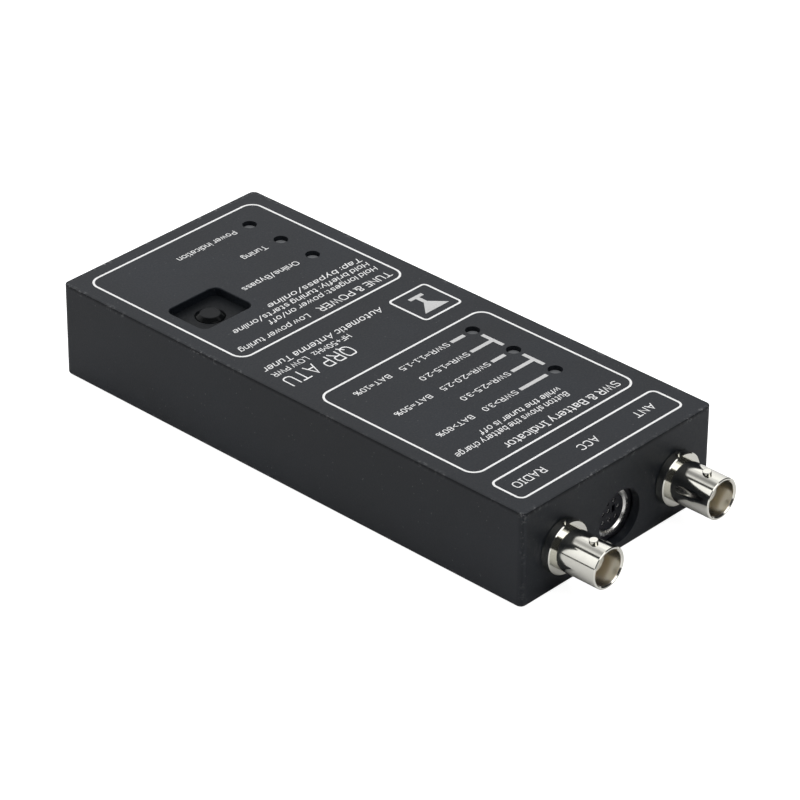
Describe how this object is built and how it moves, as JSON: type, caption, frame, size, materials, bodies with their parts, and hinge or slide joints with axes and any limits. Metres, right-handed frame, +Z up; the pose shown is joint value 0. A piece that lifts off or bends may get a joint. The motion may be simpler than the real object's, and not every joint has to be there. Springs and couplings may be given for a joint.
{
  "type": "antenna tuner",
  "caption": "Flat pocket-size automatic antenna tuner: black metal case, two bayonet coaxial jacks, a round accessory socket, small indicator windows and one recessed push-button.",
  "frame": {"origin": "middle of the underside, on the bottom cover", "axes": "+X from the antenna jack to the radio jack, +Y out of the connector end, +Z up through the printed top face"},
  "size_m": [0.06, 0.1501, 0.023],
  "materials": {
    "bezel_black": "matte",
    "black_coat": "matte",
    "black_steel": "satin",
    "board_green": "satin",
    "button_black": "gloss",
    "capacitor_body": "matte",
    "cell_foil": "satin",
    "chip_black": "matte",
    "enamelled_copper": "gloss",
    "ferrite": "matte",
    "gold_contact": "polished",
    "iron_powder": "satin",
    "light_guide": "satin",
    "light_lens": "gloss",
    "nickel": "polished",
    "relay_case": "satin",
    "socket_black": "matte",
    "stamped_steel": "satin",
    "switch_black": "satin",
    "tinned_copper": "satin",
    "white_ptfe": "satin"
  },
  "bodies": {
    "tuner": {"acc_socket_contacts": "gold_contact", "acc_socket_housing": "socket_black", "acc_socket_insert": "socket_black", "acc_socket_shield": "nickel", "air_coils": "enamelled_copper", "antenna_jack_body": "nickel", "antenna_jack_contact": "gold_contact", "antenna_jack_insulator": "white_ptfe", "antenna_jack_lock_washer": "nickel", "antenna_jack_nut": "nickel", "antenna_jack_solder_tag": "nickel", "antenna_jack_wire": "tinned_copper", "battery_cell": "cell_foil", "board_screws": "black_steel", "bottom_cover": "black_coat", "bridge_core_forward": "ferrite", "bridge_core_reflected": "ferrite", "bridge_windings": "enamelled_copper", "button_bezel": "bezel_black", "capacitor_relay_1": "relay_case", "capacitor_relay_2": "relay_case", "capacitor_relay_3": "relay_case", "capacitor_relay_4": "relay_case", "capacitor_relay_5": "relay_case", "capacitor_relay_6": "relay_case", "charge_socket": "stamped_steel", "cover_screws": "black_steel", "housing_shell": "black_coat", "indicator_lights": "light_lens", "inductor_core_1": "iron_powder", "inductor_core_2": "iron_powder", "inductor_core_3": "iron_powder", "inductor_relay_1": "relay_case", "inductor_relay_2": "relay_case", "inductor_relay_3": "relay_case", "inductor_relay_4": "relay_case", "inductor_relay_5": "relay_case", "inductor_relay_6": "relay_case", "inductor_winding_1": "enamelled_copper", "inductor_winding_2": "enamelled_copper", "inductor_winding_3": "enamelled_copper", "main_board": "board_green", "microcontroller": "chip_black", "network_side_relay": "relay_case", "radio_jack_body": "nickel", "radio_jack_contact": "gold_contact", "radio_jack_insulator": "white_ptfe", "radio_jack_lock_washer": "nickel", "radio_jack_nut": "nickel", "radio_jack_solder_tag": "nickel", "radio_jack_wire": "tinned_copper", "relay_drivers": "chip_black", "status_light_guide": "light_guide", "switch_base": "switch_black", "switch_cover": "stamped_steel", "switch_dome": "stamped_steel", "swr_light_guide": "light_guide", "tuning_capacitors": "capacitor_body"},
    "button": {"button_cap": "button_black", "switch_plunger": "switch_black"}
  },
  "joints": [
    {"name": "button_press", "type": "slide", "parent": "tuner", "child": "button", "axis": [0, 0, -1], "range_m": [0, 0.0003], "stiffness_N_per_m": 4000, "springref_m": -0.00002, "deforming": ["switch_dome"]}
  ]
}
